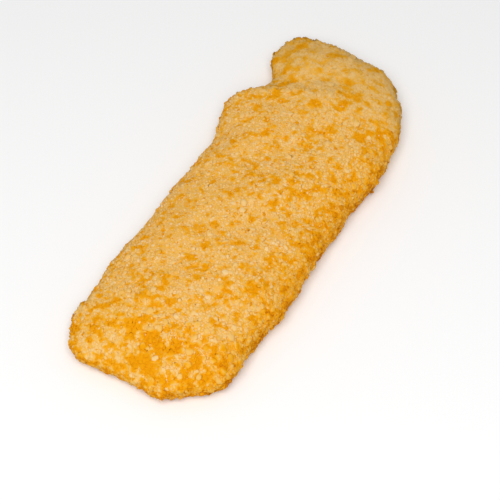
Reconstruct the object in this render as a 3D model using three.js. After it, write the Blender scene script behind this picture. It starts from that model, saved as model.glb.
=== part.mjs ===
// A breaded, fried fish fillet: one solid piece of food that lies flat on its underside.
//
// Millimetres, +Z up. X runs from the blunt head end (-X) to the tail end (+X), Y across the fillet.
// The origin is on the resting face, below the middle of the outline's box.
//
// The body is a pillow. Spokes run from the rim of the outline in to a spine along the middle, and
// each spoke carries points all round its section: flat underside, low belly, long shoulder, domed top.
// Thin spots, creases and lumps then bend that surface as cooked fish under a crumb coat is bent.

import * as THREE from "three";
import { ImprovedNoise } from "three/addons/math/ImprovedNoise.js";

// Driving sizes
const LENGTH = 150;
const WIDTH = 65;
const THICKNESS = 17; // at the thickest part of the loin
const LOIN_RISE = 1.3; // how far the loin stands above the rest of the top

// Mesh density
const SPOKES = 148; // round the rim
const UNDER_RINGS = 8; // flat underside, from the spine out to the bottom edge
const BELLY_RINGS = 3; // bottom edge up to the widest line
const SHOULDER_RINGS = 6; // widest line up to the top
const TOP_RINGS = 8; // shoulder in to the spine

// The edge, seen in section
const BELLY_HEIGHT = 5.5; // height of the widest line above the plate
const BELLY_REACH = 4.5; // how far the underside tucks in below it
const SHOULDER_REACH = 17; // how far in the top is reached
const SHOULDER_POWER = 2.15; // 2 is an ellipse, more is squarer

// The spine that the spokes meet at
const SPINE_HALF = 0.5 * LENGTH - 0.45 * WIDTH;
const SPINE_BOW = 4; // the spine swings this far to each side of its middle, towards the head corner
const SPINE_OFFSET = -1;
const SPINE_SHARE = 0.955; // how much of the way to the spine the innermost ring goes

const EVENING_PASSES = 8; // how often the heights of neighbouring spokes are evened out

// Lumps of the crumb coat and the flakes under it
const LUMP_HEIGHT = 1.3;
const LUMP_SPAN = 17;
const LUMP_SHIFT = 3.7; // which stretch of the noise the lumps come from
const KNOB_HEIGHT = 0.55;
const KNOB_SPAN = 6.5;
const KNOB_SHIFT = 11.3;
const FLAT_BELOW = 0.6; // the lumps fade out from FADED_ABOVE down to here, so the underside stays flat
const FADED_ABOVE = 5;

// The outline at the widest line, as shares of half the length and half the width, anticlockwise from
// the middle of the head end.
const OUTLINE = [
  [-1.0, -0.08],
  [-0.94, -0.3],
  [-0.85, -0.55],
  [-0.66, -0.62],
  [-0.41, -0.75],
  [-0.13, -0.805],
  [0.16, -0.895],
  [0.45, -0.99], // broadest part of the belly side
  [0.76, -0.87],
  [0.925, -0.56],
  [0.995, 0.05], // tail end
  [1.0, 0.48], // tail lobe
  [0.83, 0.62],
  [0.69, 0.46], // notch beside the lobe
  [0.6, 0.56],
  [0.49, 0.785], // shoulder next to the notch
  [0.275, 0.735],
  [-0.12, 0.825],
  [-0.57, 0.985],
  [-0.81, 1.0],
  [-0.945, 0.85], // head corner
  [-0.97, 0.45],
  [-0.985, 0.15],
];

// Where the body is thinner or thicker than THICKNESS, or creased: a soft oval hill of the given
// height, negative for a hollow. Places are in millimetres, reach is the oval's half length and half
// width, and turn is its angle from X in degrees.
const SWELLS = [
  { name: "thin head edge", at: [-76, 4], reach: [17, 40], turn: 0, height: -4.6 },
  { name: "thin head corner", at: [-70, 30], reach: [18, 14], turn: 0, height: -2.6 },
  { name: "thin tail", at: [78, 4], reach: [24, 40], turn: 0, height: -4.6 },
  { name: "tail lobe", at: [68, 17], reach: [14, 10], turn: 20, height: -2.6 },
  { name: "tail crease", at: [50, 8], reach: [14, 3.6], turn: 105, height: -1.7 },
  { name: "loin ridge", at: [0, -4], reach: [52, 13], turn: -3, height: LOIN_RISE },
  { name: "back slope", at: [-8, 25], reach: [60, 9], turn: -4, height: -2.2 },
  { name: "head dimple", at: [-61, -5], reach: [5.5, 9], turn: 10, height: -1.3 },
  { name: "head fold", at: [-55, -4], reach: [3.6, 15], turn: 8, height: 0.9 },
  { name: "flake step", at: [22, 8], reach: [5, 16], turn: -28, height: -0.7 },
];

const noise = new ImprovedNoise();

// The rim: SPOKES points spaced evenly round the outline, at the height of the widest line.
function rimPoints() {
  const corners = OUTLINE.map(([x, y]) => new THREE.Vector3((x * LENGTH) / 2, (y * WIDTH) / 2, 0));
  const curve = new THREE.CatmullRomCurve3(corners, true, "centripetal");
  return curve.getSpacedPoints(SPOKES).slice(0, SPOKES);
}

// Where a spoke and the one across from it meet on the spine, which bows towards the head corner.
function spinePoint(rim, across) {
  const x = THREE.MathUtils.clamp((rim.x + across.x) / 2, -SPINE_HALF, SPINE_HALF);
  return new THREE.Vector3(x, SPINE_OFFSET - (x / SPINE_HALF) * SPINE_BOW, 0);
}

function swellHeight({ at, reach, turn, height }, x, y) {
  const middle = new THREE.Vector2();
  const along = new THREE.Vector2(x - at[0], y - at[1]);
  along.rotateAround(middle, -THREE.MathUtils.degToRad(turn));
  return height * Math.exp(-((along.x / reach[0]) ** 2) - (along.y / reach[1]) ** 2);
}

// Height of the top over (x, y), before the edge rounds it off.
function topHeight(x, y) {
  return SWELLS.reduce((height, swell) => height + swellHeight(swell, x, y), THICKNESS - LOIN_RISE);
}

// Share of the way up from the widest line to the top, at a distance in from the rim.
function shoulderShare(inward) {
  const left = 1 - Math.min(inward / SHOULDER_REACH, 1);
  return (1 - left ** SHOULDER_POWER) ** (1 / SHOULDER_POWER);
}

// One spoke's section, from the spine under the body, round the edge and back to the spine on top:
// how far each point lies in from the rim, and its height once its place is known.
function sectionStations(depth) {
  const quarter = (ring, rings) => (ring / rings) * (Math.PI / 2);
  const stations = [];
  for (let i = 0; i < UNDER_RINGS; i++) {
    const inward = THREE.MathUtils.lerp(depth * SPINE_SHARE, BELLY_REACH, i / UNDER_RINGS);
    stations.push({ inward, height: () => 0 });
  }
  for (let i = 0; i < BELLY_RINGS; i++) {
    const angle = quarter(i, BELLY_RINGS);
    const height = BELLY_HEIGHT * (1 - Math.cos(angle));
    stations.push({ inward: BELLY_REACH * (1 - Math.sin(angle)), height: () => height });
  }
  const climb = (inward) => (x, y) => {
    return THREE.MathUtils.lerp(BELLY_HEIGHT, topHeight(x, y), shoulderShare(inward));
  };
  for (let i = 0; i < SHOULDER_RINGS; i++) {
    const inward = SHOULDER_REACH * (1 - Math.cos(quarter(i, SHOULDER_RINGS)));
    stations.push({ inward, height: climb(inward) });
  }
  for (let i = 0; i <= TOP_RINGS; i++) {
    const inward = THREE.MathUtils.lerp(SHOULDER_REACH, depth * SPINE_SHARE, i / TOP_RINGS);
    stations.push({ inward, height: climb(inward) });
  }
  return stations;
}

function spokePoints(rim, across) {
  const spine = spinePoint(rim, across);
  const depth = rim.distanceTo(spine);
  return sectionStations(depth).map(({ inward, height }) => {
    const point = rim.clone().lerp(spine, inward / depth);
    return point.setZ(height(point.x, point.y));
  });
}

const opposite = (spoke) => (SPOKES - spoke) % SPOKES;

// Evens out the heights above the widest line from spoke to spoke, where they crowd beside the notch.
function evenOut(spokes) {
  const first = UNDER_RINGS + BELLY_RINGS + 1;
  for (let pass = 0; pass < EVENING_PASSES; pass++) {
    const before = spokes.map((points) => points.map((point) => point.z));
    spokes.forEach((points, s) => {
      const left = before[(s + SPOKES - 1) % SPOKES];
      const right = before[(s + 1) % SPOKES];
      for (let r = first; r < points.length; r++) {
        points[r].z = before[s][r] / 2 + (left[r] + right[r]) / 4;
      }
    });
  }
}

// Quads between neighbouring spokes, then a ladder of rungs across the gap at the spine on top and below.
function skinFaces(rings) {
  const faces = [];
  const vertex = (spoke, ring) => (spoke % SPOKES) * rings + ring;
  const quad = (a, b, c, d) => faces.push(a, b, c, a, c, d);
  for (let s = 0; s < SPOKES; s++) {
    for (let r = 0; r < rings - 1; r++) {
      quad(vertex(s, r), vertex(s + 1, r), vertex(s + 1, r + 1), vertex(s, r + 1));
    }
  }
  const top = rings - 1;
  for (let s = 0; s < SPOKES / 2; s++) {
    const [near, far] = [opposite(s), opposite(s + 1)];
    quad(vertex(s, top), vertex(s + 1, top), vertex(far, top), vertex(near, top));
    quad(vertex(near, 0), vertex(far, 0), vertex(s + 1, 0), vertex(s, 0));
  }
  // The rungs at the two tips are triangles: a quad with a repeated corner has one empty half.
  const whole = [];
  for (let i = 0; i < faces.length; i += 3) {
    const [a, b, c] = faces.slice(i, i + 3);
    if (a !== b && b !== c && c !== a) whole.push(a, b, c);
  }
  return whole;
}

function lumpAt(point) {
  const sample = (span, shift) => noise.noise(point.x / span + shift, point.y / span, point.z / span);
  return LUMP_HEIGHT * sample(LUMP_SPAN, LUMP_SHIFT) + KNOB_HEIGHT * sample(KNOB_SPAN, KNOB_SHIFT);
}

// Pushes each point in or out along its normal, less and less towards the resting face.
function addLumps(geometry) {
  geometry.computeVertexNormals();
  const { position, normal } = geometry.attributes;
  const point = new THREE.Vector3();
  const outward = new THREE.Vector3();
  for (let i = 0; i < position.count; i++) {
    point.fromBufferAttribute(position, i);
    outward.fromBufferAttribute(normal, i);
    const share = THREE.MathUtils.smoothstep(point.z, FLAT_BELOW, FADED_ABOVE);
    point.addScaledVector(outward, lumpAt(point) * share);
    position.setXYZ(i, point.x, point.y, point.z);
  }
}

function filletGeometry() {
  const rim = rimPoints();
  const spokes = rim.map((point, s) => spokePoints(point, rim[opposite(s)]));
  evenOut(spokes);
  const geometry = new THREE.BufferGeometry().setFromPoints(spokes.flat());
  geometry.setIndex(skinFaces(spokes[0].length));
  addLumps(geometry);
  geometry.computeBoundingBox();
  const middle = geometry.boundingBox.getCenter(new THREE.Vector3());
  geometry.translate(-middle.x, -middle.y, 0);
  geometry.computeVertexNormals();
  return geometry;
}

const CRUMB_GOLD = 0xe5a848;

const crumbCoat = new THREE.MeshStandardMaterial({ color: CRUMB_GOLD, roughness: 0.85, metalness: 0 });

const fillet = new THREE.Mesh(filletGeometry(), crumbCoat);
fillet.name = "fillet";

const part = new THREE.Group();
part.add(fillet);

export default part;
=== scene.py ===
"""The looks of a fried fish fillet: a rough crust with pale, golden and orange crumbs on it.

The crust is the fillet's own form with real lumps and pits in its mesh. The crumbs have four sizes
and three colours, and all of one size and colour are one joined mesh: a few shapes, laid over the
crust thousands of times at their true size.
Lengths are in millimetres until a mesh is made, and scene units are metres.
"""

import math

import bmesh
import bpy
import numpy as np
from mathutils import Euler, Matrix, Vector, noise


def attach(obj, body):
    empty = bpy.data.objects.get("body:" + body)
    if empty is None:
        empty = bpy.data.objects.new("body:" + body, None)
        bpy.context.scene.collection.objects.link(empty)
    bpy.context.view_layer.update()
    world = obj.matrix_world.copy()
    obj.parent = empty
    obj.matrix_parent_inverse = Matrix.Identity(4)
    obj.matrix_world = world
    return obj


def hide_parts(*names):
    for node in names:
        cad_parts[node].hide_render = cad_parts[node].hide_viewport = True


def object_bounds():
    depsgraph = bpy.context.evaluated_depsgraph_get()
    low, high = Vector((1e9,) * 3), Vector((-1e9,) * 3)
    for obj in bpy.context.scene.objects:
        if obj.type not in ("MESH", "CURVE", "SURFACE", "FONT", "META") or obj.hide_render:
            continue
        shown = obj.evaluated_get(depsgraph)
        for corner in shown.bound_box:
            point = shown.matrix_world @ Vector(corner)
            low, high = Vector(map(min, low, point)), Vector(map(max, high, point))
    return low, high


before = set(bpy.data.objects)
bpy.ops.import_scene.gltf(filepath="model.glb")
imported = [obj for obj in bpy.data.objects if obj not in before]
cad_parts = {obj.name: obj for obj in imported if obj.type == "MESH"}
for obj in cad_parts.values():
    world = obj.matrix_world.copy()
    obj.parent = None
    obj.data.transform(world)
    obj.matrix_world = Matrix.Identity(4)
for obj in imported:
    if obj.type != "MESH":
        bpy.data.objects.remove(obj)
cad_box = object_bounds()

MM = 0.001
SEED = 41

# Camera: it looks along the fillet from the head end, from the belly side.
AZIMUTH = -67
ELEVATION = 52
CAMERA_DISTANCE = 510
LENS = 121
AIM = (-17.9, -6.5, -0.9)  # from the middle of the fillet

# Studio, in metres and watts
SOFTBOX = {"azimuth": -74, "elevation": 59, "distance": 0.8, "size": 0.6, "power": 5.2}
SKY_STRENGTH = 0.41
FLOOR_HALF = 3
FLOOR_GREY = 0.95
FLOOR_ROUGHNESS = 0.9
FLOOR_SHINE = 0.1

# Spots on the fillet that differ from the rest: middle and reach, along X and across it.
CLUMP = ((-60, -3), (7, 9))  # chunky crumbs stick together here
SMOOTH_CORNER = ((-65, 15), (12, 13))  # the coat is flat and patchy here
SANDY = ((-15, 13), (40, 15))  # the crumbs are finer and paler here
LOBE = ((57, 18), (20, 10))  # the tail's lobe is more orange
FRONT = ((-69, 5), (8, 10))  # so is the middle of the head end
TAIL_CORNER = ((57, -24), (11, 9))  # the other corner of the tail is paler

# Stretches over which the coat changes: the way each runs, where it begins and where it ends.
TO_HEAD = (-1, 0, 0)
TO_TAIL = (1, 0, 0)
TO_BELLY = (0, -1, 0)
DOWN = (0, 0, -1)
HEAD = (TO_HEAD, 25, 60)
HEAD_LUMPS = (TO_HEAD, 30, 60)
HEAD_MOTTLING = (TO_HEAD, 36, 62)
HEAD_TIP = (TO_HEAD, 52, 66)
PAST_MIDDLE = (TO_TAIL, 0, 30)
REAR_HALF = (TO_TAIL, -5, 45)
TAIL = (TO_TAIL, 25, 55)
TAIL_RIM = (TO_TAIL, 30, 60)
TAIL_MOTTLING = (TO_TAIL, 32, 65)
BELLY_SIDE = (TO_BELLY, 8, 30)

# The same for the way that the surface faces, from -1, straight against the way, to 1, along it.
STEEP_RIM = (DOWN, -0.75, -0.1)
STEEP_TOAST_AND_SHADE = (DOWN, -0.8, 0.1)
FACING_BELLY = (TO_BELLY, 0.15, 0.8)
UNDERSIDE = -0.7  # the underside faces further down than this

# Crust
CRUST_GRAIN = 0.47  # size of the crust's facets
CRUST_INSET = 0.3  # the crumbs stand on the crust, so it lies this far inside the fillet's outline
UNDER_CLEARANCE = 0.25  # the crust's own underside lies this far above the plate
WELD = 0.001
ROUNDINGS = 2
MAP_SPREAD = 8  # the crust's map is spread this far at its steep edge
MAP_MARGIN = 0.01

# The crust's lumps: how high and how wide each kind is, and its own shift in the noise.
SWELLS = {"height": 0.4, "span": 8, "shift": 1}
CLUMPS = {"height": 0.42, "span": 3.2, "shift": 5}
GRAINS = {"height": 0.42, "span": 1.9, "shift": 2}
GRITTINESS = {"height": 0.25, "span": 1.2, "shift": 7}
BUMP_FOOT = 0.55  # the share of a round bump that is sunk in the crust
RAGGED_RIM = 0.5  # how much coarser the clumps and grains are round the rim than on top
COARSER_HEAD = 0.1
COARSER_SPOTS = ((CLUMP, 0.5), (SANDY, -0.3), (SMOOTH_CORNER, -0.4))
RIM_LOST_AT_TAIL = 0.7

# Crumbs, from the largest to the smallest. Width is in millimetres, and flat is height over width.
SHAPES = 14  # different shapes of each size
CHUNKY = {"form": "round", "count": 520, "spacing": 2.3, "width": (1.8, 3.0), "flat": (0.35, 0.5)}
COARSE = {"form": "round", "count": 5600, "spacing": 1.0, "width": (1.1, 2.1), "flat": (0.32, 0.52)}
FINE = {"form": "ball", "count": 17000, "spacing": 0.5, "width": (0.75, 1.35), "flat": (0.35, 0.55)}
GRIT = {"form": "cube", "count": 29000, "spacing": 0.3, "width": (0.5, 0.9), "flat": (0.35, 0.55)}
SIZES = {"chunky": CHUNKY, "coarse": COARSE, "fine": FINE, "grit": GRIT}
CUBE_SIDE = 1.4
CORNER_STRETCH = (0.75, 1.2)  # each corner of a shape is pulled in or out this much
CORNER_JITTER = 0.07
TRIES = 2  # places tried for each crumb that is wanted
MORE_SMALL = (1.4, 2.6)  # small crumbs are commoner than large ones
SLIMMEST = 0.55
SUNK_OR_RAISED = (-0.4, 0.5)  # how far a crumb's middle lies out of the crust, over its half height
LEAN = 0.2
MAP_FILL = 0.4  # a crumb reaches this far from the middle of its square of the map
WIDER_AT_HEAD = 0.12
NARROWER_IN_SAND = 0.2
FLATTER_AT_CORNER = 0.4
UNDERSIDE_DENSITY = 0.6

# How closely chunky crumbs lie, against an even spread
CHUNKY_DENSITY = 0.7
CHUNKY_AT_HEAD = 0.6
CHUNKY_AT_RIM = 0.4
CHUNKY_IN_CLUMP = 9
CHUNKY_LOST_AT_CORNER = 0.8

# Tones run from 0, pale cream, over gold to 1, deep orange, and on to brown.
BROWNEST = 1.3
COAT_COLOURS = [
    (0.0, (0.85, 0.65, 0.36)),
    (0.18, (0.83, 0.56, 0.24)),
    (0.42, (0.81, 0.47, 0.11)),
    (0.62, (0.81, 0.40, 0.03)),
    (0.82, (0.81, 0.345, 0.003)),
    (1.0, (0.79, 0.31, 0.001)),
    (BROWNEST, (0.58, 0.19, 0.002)),
]
GOLD_FROM = 0.36
ORANGE_FROM = 0.62
CRUST_TONES = (0.48, 0.86)  # where the coat is pale, and where it is orange; deeper than the crumbs, partly as the fried layer and partly as painted shade where the crust shows between them
CLUMP_CREVICE_SHADE = 0.3  # painted shade: the crust is this much deeper in tone between the crumbs of the clump
PALE_TONE = 0.3
PALE_TONE_SPREAD = 0.34
PALE_TONE_SHIFT = -0.16
MIDDLE_TONES = (2.0, 2.2)  # tones in the middle of the spread are the commonest
ORANGE_TONES = (0.84, 1.08)
STRAYS = 0.07  # share of crumbs whose colour isn't that of the coat around them
ORANGE_STRAYS = 0.03  # share that is orange on pale; the other strays are pale on orange
EVENER_AT_CORNER = 0.5

# How much deeper in tone some of the coat is: partly fried deeper, partly painted shade
EDGE_TOAST_AND_SHADE = 0.12  # the steep edge, fried deeper and with painted shade
BELLY_PAINTED_SHADE = 0.17  # painted shade on the belly side, on top of that
TOAST_AND_SHADE_LOST_AT_TAIL = 0.9
FOOT_PAINTED_SHADE = 0.2  # painted shade at the foot of a crumb, in the crevice against the crust
FOOT_HEIGHTS = (-0.35, 0.3)  # how far down a crumb its painted foot shade begins and is complete

# How much one crumb differs from the next in shade and tone: most in the middle of the fillet
CRISPNESS = 1.45
CRISPNESS_CHANGES = ((HEAD, -0.35), (PAST_MIDDLE, -0.4), (TAIL, -0.85))
OWN_SHADE = 2.2  # how much its own roundness shades a crumb; the crust's shades it the rest

# The orange mottling: layers of noise, each with a strength that may change over a stretch.
MOTTLING = (
    {"span": 5.0, "shift": 3, "strength": 0.3, "changes": ((HEAD_MOTTLING, 0.1),)},
    {"span": 3.6, "shift": 6, "strength": 0, "changes": ((REAR_HALF, 0.45),)},
    {"span": 2.5, "shift": 9, "strength": 0.6, "changes": ((TAIL_MOTTLING, -0.1),)},
    {"span": 1.15, "shift": 4, "strength": 0.45, "changes": ((TAIL_MOTTLING, -0.35),)},
)
MOTTLING_SQUEEZE = (1.1, 1, 1)
MOTTLING_TURN = np.array(Euler((0.62, 0.48, 0.7)).to_matrix())  # askew, so that no rows show
MOTTLING_SHIFT = -0.012
MOTTLING_CHANGES = ((HEAD_TIP, 0.14), (BELLY_SIDE, 0.06), (TAIL_MOTTLING, -0.06))
MOTTLING_SPOTS = ((LOBE, 0.2), (FRONT, 0.1), (SANDY, -0.11), (TAIL_CORNER, -0.14))
MOTTLING_RANGE = (-0.07, 0.4)  # the coat is pale below it and orange above
SOFTER_AT_TAIL = 0.22  # how much wider that range is at the tail

# Finish of the coat
CRUMB_SHINE = 0.05
MOTTLE_SPAN = 0.9
MOTTLE_STRENGTH = 0.28
SMOOTHEST = 0.62
UNEVEN_SHINE = 0.3
GRAIN_SPAN = 0.22
GRAIN_DEPTH = 0.12
GRAIN_STRENGTH = 0.4


# Shares -----------------------------------------------------------------------------------------


def noise_at(places, span, shift):
    """Smooth noise from -1 to 1 at each place, with lumps about as wide as the span."""
    offset = Vector((shift, -shift, 2 * shift))
    return np.array([noise.noise(Vector(place) / span + offset) for place in places])


def bumps_at(places, span, shift):
    """Round bumps about as wide as the span: 1 in the middle of each, 0 between them."""
    offset = Vector((shift, shift, -shift))
    nearest = [noise.voronoi(Vector(place) / span + offset)[0][0] for place in places]
    return 1 - np.clip(np.array(nearest), 0, 1)


def ramp(value, low, high):
    """0 below low, 1 above high, and smooth between them."""
    share = np.clip((value - low) / (high - low), 0, 1)
    return share * share * (3 - 2 * share)


def unit(vectors):
    return vectors / np.linalg.norm(vectors, axis=-1, keepdims=True)


def near(places, spot):
    """1 at the middle of a spot on the fillet, fading to 0 around it."""
    middle, reach = spot
    apart = (places[:, :2] - middle) / reach
    return np.exp(-(apart**2).sum(axis=1))


def along(vectors, stretch):
    """0 before a stretch, 1 beyond it: for places on the fillet, or for the way that they face."""
    way, begins, ends = stretch
    return ramp(vectors @ way, begins, ends)


def changed(places, changes):
    """The sum of what changes at each place over some stretches."""
    return sum(change * along(places, stretch) for stretch, change in changes)


def changed_in_spots(places, changes):
    return sum(change * near(places, spot) for spot, change in changes)


def rim_share(places, outward):
    """1 round the steep rim, 0 on top; less at the tail, where the rim is neater."""
    return along(outward, STEEP_RIM) * (1 - RIM_LOST_AT_TAIL * along(places, TAIL_RIM))


def crispness(places):
    return CRISPNESS + changed(places, CRISPNESS_CHANGES)


def toast_and_shade_at_edge(places, outward):
    """How much deeper in tone the coat is where it is steep: fried deeper, with painted shade there
    and more painted shade on the belly side.
    """
    toast_and_shade = EDGE_TOAST_AND_SHADE * along(outward, STEEP_TOAST_AND_SHADE) + BELLY_PAINTED_SHADE * along(outward, FACING_BELLY)
    return toast_and_shade * (1 - TOAST_AND_SHADE_LOST_AT_TAIL * along(places, TAIL))


def orange_share(places):
    """How orange the coat is at each place: blotches that are larger and closer at the head end."""
    askew = places * MOTTLING_SQUEEZE @ MOTTLING_TURN
    level = MOTTLING_SHIFT + changed(places, MOTTLING_CHANGES)
    level += changed_in_spots(places, MOTTLING_SPOTS)
    for layer in MOTTLING:
        strength = layer["strength"] + changed(places, layer["changes"])
        level += strength * noise_at(askew, layer["span"], layer["shift"])
    softness = SOFTER_AT_TAIL * along(places, TAIL_MOTTLING)
    pale, orange = MOTTLING_RANGE
    return ramp(level, pale - softness, orange + softness)


# Meshes -----------------------------------------------------------------------------------------


def new_object(name, data):
    made = bpy.data.objects.new(name, data)
    bpy.context.scene.collection.objects.link(made)
    return made


def read(items, name, width, kind=np.int32):
    """One property of all the items of a mesh, with a row for each."""
    found = np.empty(len(items) * width, kind)
    items.foreach_get(name, found)
    return found.reshape(-1, width)


def write(items, name, values):
    items.foreach_set(name, values.astype(np.float32).ravel())


def write_tones(mesh, tones):
    write(mesh.attributes.new("tone", "FLOAT", "POINT").data, "value", tones)


def write_map(mesh, spots):
    write(mesh.uv_layers.new(name="OFBake").uv, "vector", spots)


# Crust ------------------------------------------------------------------------------------------


def smooth_form():
    """The fillet's solid as one even, smooth, closed mesh."""
    form = bmesh.new()
    form.from_mesh(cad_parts["fillet"].data)
    bmesh.ops.remove_doubles(form, verts=form.verts, dist=WELD * MM)
    bmesh.ops.join_triangles(
        form, faces=form.faces, angle_face_threshold=math.pi, angle_shape_threshold=math.pi
    )
    mesh = bpy.data.meshes.new("form")
    form.to_mesh(mesh)
    form.free()
    crust = new_object("crust", mesh)
    rounding = crust.modifiers.new("rounding", "SUBSURF")
    rounding.levels = rounding.render_levels = ROUNDINGS
    grain = crust.modifiers.new("grain", "REMESH")
    grain.mode = "VOXEL"
    grain.voxel_size = CRUST_GRAIN * MM
    finished = crust.evaluated_get(bpy.context.evaluated_depsgraph_get())
    even = bpy.data.meshes.new_from_object(finished)
    crust.modifiers.clear()
    crust.data = even
    bpy.data.meshes.remove(mesh)
    even.name = "crust"
    return crust


def lumps(layer, places):
    return layer["height"] * noise_at(places, layer["span"], layer["shift"])


def bumps(layer, places):
    return layer["height"] * (bumps_at(places, layer["span"], layer["shift"]) - BUMP_FOOT)


def relief(places, outward):
    """How far the crust stands out at each place."""
    coarse = 1 + COARSER_HEAD * along(places, HEAD_LUMPS) + RAGGED_RIM * rim_share(places, outward)
    coarse += changed_in_spots(places, COARSER_SPOTS)
    rough = coarse * (lumps(CLUMPS, places) + bumps(GRAINS, places))
    return lumps(SWELLS, places) + rough + bumps(GRITTINESS, places)


def map_crust(mesh, places, outward):
    """Maps the crust flat: its top above, its underside below, each spread where it is steep."""
    flat = (places + outward * MAP_SPREAD)[:, :2]
    flat = (flat - flat.min(axis=0)) / np.ptp(flat, axis=0)
    corners = read(mesh.loops, "vertex_index", 1).ravel()
    counts = read(mesh.polygons, "loop_total", 1).ravel()
    starts = read(mesh.polygons, "loop_start", 1).ravel()
    on_top = np.add.reduceat(outward[corners, 2], starts) >= 0
    half = np.repeat(np.where(on_top, 0.5, 0), counts)
    right = MAP_MARGIN + (1 - 2 * MAP_MARGIN) * flat[corners, 0]
    up = MAP_MARGIN + half + (0.5 - 2 * MAP_MARGIN) * flat[corners, 1]
    write_map(mesh, np.stack([right, up], axis=1))


def make_crust():
    """The lumpy crust, and the smooth surface under it that the crumbs are laid on."""
    crust = smooth_form()
    mesh = crust.data
    places = read(mesh.vertices, "co", 3, np.float32).astype(float) / MM
    outward = read(mesh.vertices, "normal", 3, np.float32).astype(float)
    rough = places + outward * (relief(places, outward) - CRUST_INSET)[:, None]
    rough[:, 2] = np.maximum(rough[:, 2], UNDER_CLEARANCE)
    write(mesh.vertices, "co", rough * MM)
    mesh.update()
    mesh.shade_smooth()
    # the crust's deeper tone is partly painted shade in the crevices between crumbs
    pale, orange = CRUST_TONES
    tones = pale + (orange - pale) * orange_share(places)
    # deeper at the steep edge, partly fried and partly painted shade; painted shade on the belly
    # side
    # the clump's deeper crust is painted shade in its crevices
    write_tones(mesh, tones + toast_and_shade_at_edge(places, outward) + CLUMP_CREVICE_SHADE * near(places, CLUMP))
    map_crust(mesh, places, outward)
    mesh.calc_loop_triangles()
    triangles = read(mesh.loop_triangles, "vertices", 3)
    return crust, {"places": rough, "outward": outward, "triangles": triangles}


# Crumbs -----------------------------------------------------------------------------------------


def corner_numbers(triangle):
    """The numbers of a triangle's three corners, in the way it winds, with the lowest first."""
    numbers = [corner.index for corner in triangle.verts]
    first = numbers.index(min(numbers))
    return numbers[first:] + numbers[:first]


def crumb_shapes(form, random):
    """Small irregular lumps about 2 across: their corners, and the triangles between them.

    The triangles are sorted, because a new sphere lists its own in another order each time.
    """
    shapes = []
    for _ in range(SHAPES):
        lump = bmesh.new()
        if form == "round":
            bmesh.ops.create_uvsphere(lump, u_segments=6, v_segments=5, radius=1)
        elif form == "ball":
            bmesh.ops.create_icosphere(lump, subdivisions=1, radius=1)
        else:
            bmesh.ops.create_cube(lump, size=CUBE_SIDE)
        for corner in lump.verts:
            corner.co *= random.uniform(*CORNER_STRETCH)
            corner.co += Vector(random.normal(0, CORNER_JITTER, 3))
        bmesh.ops.triangulate(lump, faces=lump.faces)
        corners = np.array([corner.co for corner in lump.verts])
        faces = np.array(sorted(corner_numbers(triangle) for triangle in lump.faces))
        lump.free()
        shapes.append((corners, faces))
    return shapes


def crumb_density(name, places, outward):
    """How closely crumbs lie at each place: fewer underneath, and most chunky ones in the clump."""
    density = np.where(outward[:, 2] < UNDERSIDE, UNDERSIDE_DENSITY, 1)
    if name == "chunky":
        chunky = CHUNKY_DENSITY + CHUNKY_AT_HEAD * along(places, HEAD)
        chunky += CHUNKY_AT_RIM * rim_share(places, outward)
        chunky += CHUNKY_IN_CLUMP * near(places, CLUMP)
        density = density * chunky * (1 - CHUNKY_LOST_AT_CORNER * near(places, SMOOTH_CORNER))
    return density


def random_places(name, surface, count, random):
    """Places over the crust, and which way is outward there."""
    corners = surface["places"][surface["triangles"]]
    facing = surface["outward"][surface["triangles"]]
    sides = corners[:, 1:] - corners[:, :1]
    areas = np.linalg.norm(np.cross(sides[:, 0], sides[:, 1]), axis=1)
    wanted = areas * crumb_density(name, corners[:, 0], facing[:, 0])
    picked = random.choice(len(areas), count, p=wanted / wanted.sum())
    shares = random.dirichlet((1, 1, 1), count)[:, :, None]
    places = (corners[picked] * shares).sum(axis=1)
    return places, unit((facing[picked] * shares).sum(axis=1))


def kept_apart(places, spacing):
    """Which places are left when none may lie nearer than the spacing to one before it."""
    taken = {}
    kept = []
    cells = np.floor(places / spacing).astype(int)
    steps = [(i, j, k) for i in (-1, 0, 1) for j in (-1, 0, 1) for k in (-1, 0, 1)]
    for number, (cell, place) in enumerate(zip(cells.tolist(), places)):
        around = (taken.get((cell[0] + i, cell[1] + j, cell[2] + k), ()) for i, j, k in steps)
        others = (other for few in around for other in few)
        if all(((place - other) ** 2).sum() >= spacing**2 for other in others):
            taken.setdefault(tuple(cell), []).append(place)
            kept.append(number)
    return np.array(kept)


def turned(outward, random):
    """Three axes of each crumb: two along the crust, leaning a little, and one out of it."""
    out = unit(outward + random.normal(0, LEAN, outward.shape))
    across = unit(np.cross(out, random.normal(0, 1, out.shape)))
    return np.stack([across, np.cross(out, across), out], axis=1)


def crumb_halves(size, places, random):
    """Half width, half depth and half height of each crumb; they are wider at the head end."""
    low, high = size["width"]
    width = low + (high - low) * random.beta(*MORE_SMALL, len(places))
    width *= 1 + WIDER_AT_HEAD * along(places, HEAD) - NARROWER_IN_SAND * near(places, SANDY)
    slim = random.uniform(SLIMMEST, 1, len(places))
    flat = random.uniform(*size["flat"], len(places))
    flat *= 1 - FLATTER_AT_CORNER * near(places, SMOOTH_CORNER)
    return np.stack([width, width * slim, width * flat], axis=1) / 2


def crumb_tones(places, outward, random):
    """Each crumb's tone where the coat is pale and where it is orange; some stray from the coat."""
    crisp = crispness(places)
    strays = random.random(len(places)) / crisp
    spread = PALE_TONE_SPREAD * random.beta(*MIDDLE_TONES, len(places)) + PALE_TONE_SHIFT
    evened = crisp * (1 - EVENER_AT_CORNER * near(places, SMOOTH_CORNER))
    return {
        "pale": PALE_TONE + spread * evened,
        "deep": random.uniform(*ORANGE_TONES, len(places)),
        "stray": np.where(strays < ORANGE_STRAYS, 1, np.where(strays < STRAYS, -1, 0)),
        # deeper round the edge: partly fried, partly painted shade
        "toast_and_shade": toast_and_shade_at_edge(places, outward),
    }


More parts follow.
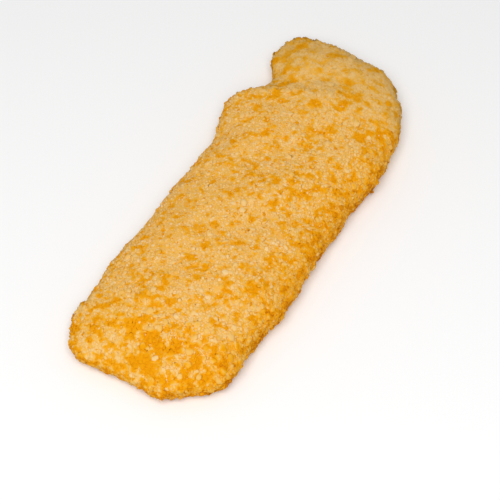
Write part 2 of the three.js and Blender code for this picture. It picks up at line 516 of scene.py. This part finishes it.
def tone_of(crumbs, orange):
    share = np.clip(orange + crumbs["stray"], 0, 1)
    return crumbs["pale"] + (crumbs["deep"] - crumbs["pale"]) * share + crumbs["toast_and_shade"]


def scatter(name, size, surface, random):
    """Where each crumb of one size lies, how it is turned, how big it is, and its tones."""
    places, outward = random_places(name, surface, size["count"] * TRIES, random)
    kept = kept_apart(places, size["spacing"])[: size["count"]]
    places, outward = places[kept], outward[kept]
    halves = crumb_halves(size, places, random)
    raised = halves[:, 2] * random.uniform(*SUNK_OR_RAISED, len(places))
    return {
        "places": places + outward * raised[:, None],
        "outward": outward,
        "halves": halves,
        "axes": turned(outward, random),
        "picks": random.integers(SHAPES, size=len(places)),
        **crumb_tones(places, outward, random),
    }


def laid_out(shape, number, crumbs, across):
    """All the crumbs of one shape: place, tone, shading normal and map spot of each corner."""
    corners, _ = shape
    chosen = np.flatnonzero(crumbs["picks"] == number)
    some = {key: values[chosen][:, None] for key, values in crumbs.items()}
    axes = crumbs["axes"][chosen]
    points = np.einsum("cvi,cij->cvj", corners * some["halves"], axes) + some["places"]
    own = np.einsum("cvi,cij->cvj", unit(corners / some["halves"]), axes)
    tones = tone_of(some, orange_share(points.reshape(-1, 3)).reshape(points.shape[:2]))
    crisp = crispness(crumbs["places"][chosen])[:, None]
    # painted shade: deeper tone towards each crumb's foot, in the crevice against the crust
    painted_foot_shade = FOOT_PAINTED_SHADE * crisp * ramp(-corners[:, 2], *FOOT_HEIGHTS)
    squares = np.stack([chosen % across, chosen // across], axis=1)[:, None]
    inside = 0.5 + MAP_FILL * corners[:, :2] / np.abs(corners[:, :2]).max()
    return {
        "points": points.reshape(-1, 3),
        "tones": (tones + painted_foot_shade).ravel(),
        "normals": unit(own * OWN_SHADE * crisp[:, None] + some["outward"]).reshape(-1, 3),
        "map": ((squares + inside) / across).reshape(-1, 2),
    }


def joined(name, shapes, crumbs):
    """One mesh of all these crumbs. Each carries its tone and has a square of the map to itself."""
    across = math.ceil(math.sqrt(len(crumbs["places"])))
    laid = [laid_out(shape, number, crumbs, across) for number, shape in enumerate(shapes)]
    start = 0
    triangles = []
    for (corners, faces), group in zip(shapes, laid):
        firsts = np.arange(start, start + len(group["points"]), len(corners))
        triangles.append((faces + firsts[:, None, None]).reshape(-1, 3))
        start += len(group["points"])
    triangles = np.concatenate(triangles)
    whole = {key: np.concatenate([group[key] for group in laid]) for key in laid[0]}
    whole["points"][:, 2] = np.maximum(whole["points"][:, 2], 0)
    mesh = bpy.data.meshes.new(name)
    mesh.vertices.add(len(whole["points"]))
    write(mesh.vertices, "co", whole["points"] * MM)
    mesh.loops.add(triangles.size)
    mesh.loops.foreach_set("vertex_index", triangles.astype(np.int32).ravel())
    mesh.polygons.add(len(triangles))
    mesh.polygons.foreach_set("loop_start", np.arange(0, triangles.size, 3, dtype=np.int32))
    mesh.update(calc_edges=True)
    mesh.shade_smooth()
    mesh.normals_split_custom_set_from_vertices(whole["normals"])
    write_tones(mesh, whole["tones"])
    write_map(mesh, whole["map"][triangles.ravel()])
    return new_object(name, mesh)


def make_crumbs(name, size, surface, random):
    """The crumbs of one size, as one piece for each colour."""
    shapes = crumb_shapes(size["form"], random)
    crumbs = scatter(name, size, surface, random)
    tones = tone_of(crumbs, orange_share(crumbs["places"]))
    colours = {
        "pale": tones < GOLD_FROM,
        "golden": (tones >= GOLD_FROM) & (tones < ORANGE_FROM),
        "orange": tones >= ORANGE_FROM,
    }
    pieces = {}
    for colour, members in colours.items():
        some = {key: values[members] for key, values in crumbs.items()}
        pieces[colour] = joined(f"{name}_{colour}_crumbs", shapes, some)
    return pieces


# Finishes ---------------------------------------------------------------------------------------


class Wire:
    """A value on its way through a finish. Sums on it become Math nodes."""

    def __init__(self, finish, socket):
        self.finish = finish
        self.socket = socket

    def math(self, operation, first, second):
        return self.finish.node("ShaderNodeMath", {"operation": operation}, {0: first, 1: second})

    def __add__(self, other):
        return self.math("ADD", self, other)

    def __sub__(self, other):
        return self.math("SUBTRACT", self, other)

    def __rsub__(self, other):
        return self.math("SUBTRACT", other, self)

    def __mul__(self, other):
        return self.math("MULTIPLY", self, other)

    __radd__ = __add__
    __rmul__ = __mul__


class Finish:
    """One procedural material."""

    def __init__(self, name, **constants):
        self.material = bpy.data.materials.new(name)
        self.material.use_nodes = True
        self.tree = self.material.node_tree
        self.shader = self.tree.nodes["Principled BSDF"]
        for socket, value in constants.items():
            self.shader.inputs[socket.replace("_", " ")].default_value = value

    def node(self, kind, settings, inputs, output=0):
        made = self.tree.nodes.new(kind)
        for name, value in settings.items():
            if name == "stops":
                self.set_stops(made.color_ramp, value)
            else:
                setattr(made, name, value)
        for name, value in inputs.items():
            if isinstance(value, Wire):
                self.tree.links.new(value.socket, made.inputs[name])
            else:
                made.inputs[name].default_value = value
        return Wire(self, made.outputs[output])

    def set_stops(self, color_ramp, stops):
        color_ramp.interpolation = "LINEAR"
        while len(color_ramp.elements) < len(stops):
            color_ramp.elements.new(0.5)
        for element, (place, colour) in zip(color_ramp.elements, stops):
            element.position = place
            element.color = (*colour, 1)

    def feed(self, socket, wire):
        self.tree.links.new(wire.socket, self.shader.inputs[socket])

    def noise(self, span, detail=2, roughness=0.5):
        """Noise from 0 to 1 through the body of the piece, with lumps about as wide as the span."""
        body = self.node("ShaderNodeTexCoord", {}, {}, "Object")
        scale = 1 / (span * MM)
        inputs = {"Vector": body, "Scale": scale, "Detail": detail, "Roughness": roughness}
        return self.node("ShaderNodeTexNoise", {}, inputs)


def crumb_finish(name):
    """Dry fried crumb: its colour follows its tone, with a fine mottle and a grainy surface."""
    finish = Finish(name, Specular_IOR_Level=CRUMB_SHINE)
    tone = finish.node("ShaderNodeAttribute", {"attribute_name": "tone"}, {}, "Fac")
    mottle = finish.noise(MOTTLE_SPAN, detail=4, roughness=0.6) - 0.5
    share = (tone + MOTTLE_STRENGTH * mottle) * (1 / BROWNEST)
    stops = [(stop / BROWNEST, colour) for stop, colour in COAT_COLOURS]
    finish.feed("Base Color", finish.node("ShaderNodeValToRGB", {"stops": stops}, {"Fac": share}))
    finish.feed("Roughness", SMOOTHEST + UNEVEN_SHINE * finish.noise(MOTTLE_SPAN))
    inputs = {"Strength": GRAIN_STRENGTH, "Distance": GRAIN_DEPTH * MM}
    inputs["Height"] = finish.noise(GRAIN_SPAN)
    finish.feed("Normal", finish.node("ShaderNodeBump", {}, inputs))
    return finish.material


def floor_finish():
    finish = Finish("pale floor", Roughness=FLOOR_ROUGHNESS, Specular_IOR_Level=FLOOR_SHINE)
    finish.shader.inputs["Base Color"].default_value = (FLOOR_GREY, FLOOR_GREY, FLOOR_GREY, 1)
    return finish.material


# Studio -----------------------------------------------------------------------------------------


def look_at(name, data, target, azimuth, elevation, distance):
    """A camera or lamp that faces its target from this far away, in this direction."""
    turn, rise = math.radians(azimuth), math.radians(elevation)
    level = math.cos(rise)
    away = Vector((math.sin(turn) * level, -math.cos(turn) * level, math.sin(rise)))
    made = new_object(name, data)
    made.location = target + away * distance
    made.rotation_euler = (-away).to_track_quat("-Z", "Y").to_euler()
    return made


def make_camera(centre):
    data = bpy.data.cameras.new("camera")
    data.lens = LENS
    target = centre + Vector(AIM) * MM
    camera = look_at("camera", data, target, AZIMUTH, ELEVATION, CAMERA_DISTANCE * MM)
    bpy.context.scene.camera = camera


def make_lamp(name, centre, azimuth, elevation, distance, size, power):
    data = bpy.data.lights.new(name, "AREA")
    data.size = size
    data.energy = power
    look_at(name, data, centre, azimuth, elevation, distance)


def make_studio(centre):
    world = bpy.data.worlds.new("studio")
    world.use_nodes = True
    sky = world.node_tree.nodes["Background"]
    sky.inputs["Color"].default_value = (1, 1, 1, 1)
    sky.inputs["Strength"].default_value = SKY_STRENGTH
    bpy.context.scene.world = world
    bpy.context.scene.view_settings.view_transform = "Standard"
    make_lamp("overhead softbox", centre, **SOFTBOX)
    form = bmesh.new()
    bmesh.ops.create_grid(form, x_segments=1, y_segments=1, size=FLOOR_HALF)
    mesh = bpy.data.meshes.new("floor")
    form.to_mesh(mesh)
    form.free()
    mesh.materials.append(floor_finish())
    new_object("floor", mesh)


# The fillet -------------------------------------------------------------------------------------

middle = (cad_box[0] + cad_box[1]) / 2
make_camera(middle)
make_studio(middle)

random = np.random.default_rng(SEED)
crust, surface = make_crust()
crust.data.materials.append(crumb_finish("crust"))
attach(crust, "root")
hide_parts("fillet")

for name, size in SIZES.items():
    for colour, piece in make_crumbs(name, size, surface, random).items():
        piece.data.materials.append(crumb_finish(piece.name))
        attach(piece, "root")
